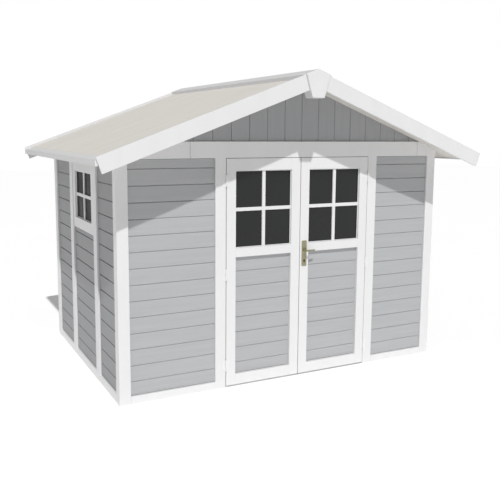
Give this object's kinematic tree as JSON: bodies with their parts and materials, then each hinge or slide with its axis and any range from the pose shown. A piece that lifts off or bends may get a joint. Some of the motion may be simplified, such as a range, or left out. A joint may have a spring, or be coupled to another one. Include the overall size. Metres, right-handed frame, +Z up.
{
  "type": "garden playhouse",
  "caption": "Plastic-clad garden playhouse: gabled roof, stacked wall boards in white posts, glazed double door with a lever handle, and a small side window.",
  "frame": {"origin": "centre of the outline on the ground, under the middle of the roof", "axes": "the door wall faces -Y, +X points to the right of someone facing the door, +Z is up"},
  "size_m": [3.358, 2.775, 2.476],
  "materials": {
    "white_pvc": "satin white extruded PVC",
    "grey_boards": "satin light grey extruded PVC",
    "gable_boards": "satin mid grey extruded PVC",
    "roof_panels": "matt beige roofing sheet",
    "tinted_glass": "dark tinted glazing",
    "timber": "planed softwood",
    "white_steel": "white powder coat",
    "galvanised_steel": "galvanised",
    "door_furniture": "satin aged brass",
    "threshold_metal": "mill finish aluminium"
  },
  "bodies": {
    "shell": {"front_left_barge_board": "white_pvc", "front_left_corner_post": "white_pvc", "front_lintel": "white_pvc", "front_ridge_finial": "white_pvc", "front_right_barge_board": "white_pvc", "front_right_corner_post": "white_pvc", "left_door_post": "white_pvc", "left_eave_trim": "white_pvc", "left_side_posts": "white_pvc", "wall_plates": "white_pvc", "rear_barge_boards": "white_pvc", "rear_left_corner_post": "white_pvc", "rear_lintel": "white_pvc", "rear_posts": "white_pvc", "rear_ridge_finial": "white_pvc", "rear_right_corner_post": "white_pvc", "ridge_cap": "white_pvc", "right_door_post": "white_pvc", "right_eave_trim": "white_pvc", "right_side_posts": "white_pvc", "sill_rails": "white_pvc", "window_frame": "white_pvc", "window_glazing_bars": "white_pvc", "front_left_boards": "grey_boards", "front_right_boards": "grey_boards", "left_front_bay_boards": "grey_boards", "left_rear_bay_boards": "grey_boards", "left_window_bay_boards": "grey_boards", "rear_wall_boards": "grey_boards", "right_wall_boards": "grey_boards", "front_gable_boards": "gable_boards", "rear_gable_boards": "gable_boards", "left_roof_panels": "roof_panels", "right_roof_panels": "roof_panels", "window_pane": "tinted_glass", "roof_beams": "timber", "anchor_brackets": "galvanised_steel", "hinge_pins": "white_steel", "hinge_post_leaves": "white_steel", "door_threshold": "threshold_metal"},
    "left_door": {"left_door_frame": "white_pvc", "left_door_boards": "grey_boards", "left_door_glass": "tinted_glass", "left_door_glazing_bars": "white_pvc", "left_door_hinge_leaves": "white_steel", "latch_keeper": "galvanised_steel", "bolt_guides": "galvanised_steel"},
    "right_door": {"right_door_frame": "white_pvc", "right_door_boards": "grey_boards", "right_door_glass": "tinted_glass", "right_door_glazing_bars": "white_pvc", "right_door_hinge_leaves": "white_steel", "lock_case": "galvanised_steel", "handle_plates": "door_furniture", "handle_screws": "door_furniture", "lock_cylinder": "door_furniture"},
    "handle": {"door_handle": "door_furniture"},
    "latch": {"latch_bolt": "galvanised_steel"},
    "top_bolt": {"top_door_bolt": "galvanised_steel"},
    "bottom_bolt": {"bottom_door_bolt": "galvanised_steel"}
  },
  "joints": [
    {"name": "left_door_swing", "type": "hinge", "parent": "shell", "child": "left_door", "pos_m": [-0.598, -1.052, 0.9], "axis": [0, 0, -1], "range_deg": [0, 110]},
    {"name": "right_door_swing", "type": "hinge", "parent": "shell", "child": "right_door", "pos_m": [0.725, -1.052, 0.9], "axis": [0, 0, 1], "range_deg": [0, 110]},
    {"name": "lever_turn", "type": "hinge", "parent": "right_door", "child": "handle", "pos_m": [0.106, -1.0455, 1.056], "axis": [0, 1, 0], "range_deg": [0, 45], "stiffness_Nm_per_rad": 1.2, "springref_deg": -28.65},
    {"name": "latch_slide", "type": "slide", "parent": "right_door", "child": "latch", "axis": [1, 0, 0], "range_m": [0, 0.008]},
    {"name": "top_bolt_slide", "type": "slide", "parent": "left_door", "child": "top_bolt", "axis": [0, 0, 1], "range_m": [0, 0.016]},
    {"name": "bottom_bolt_slide", "type": "slide", "parent": "left_door", "child": "bottom_bolt", "axis": [0, 0, -1], "range_m": [0, 0.01]}
  ],
  "couplings": [
    {"joint": "latch_slide", "follows": "lever_turn", "m_per_rad": 0.01}
  ]
}
